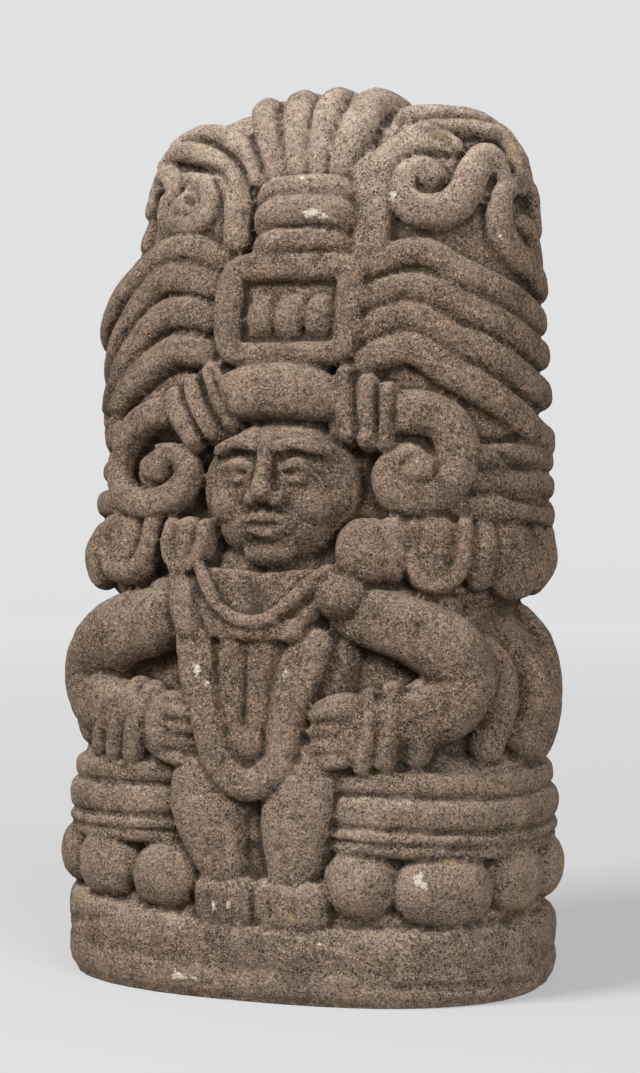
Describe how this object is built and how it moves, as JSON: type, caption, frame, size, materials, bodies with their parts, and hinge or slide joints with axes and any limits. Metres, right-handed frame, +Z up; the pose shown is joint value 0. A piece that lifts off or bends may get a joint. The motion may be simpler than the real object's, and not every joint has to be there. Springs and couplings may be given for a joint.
{
  "type": "carved stone figure",
  "caption": "Upright stone block carved all round as a standing figure, hands at the waist, with a tall feathered headdress, on a ringed and beaded base.",
  "frame": {"origin": "middle of the flat underside of the slab", "axes": "+Z up, -Y the way the figure faces, +X to the right of someone who looks at its face"},
  "size_m": [0.2803, 0.1918, 0.48],
  "materials": {
    "stone": "matt, rough, speckled grey-brown volcanic stone, worn paler on the high places and dark in the creases"
  },
  "bodies": {
    "root": {"stone_figure": "stone"}
  },
  "joints": []
}
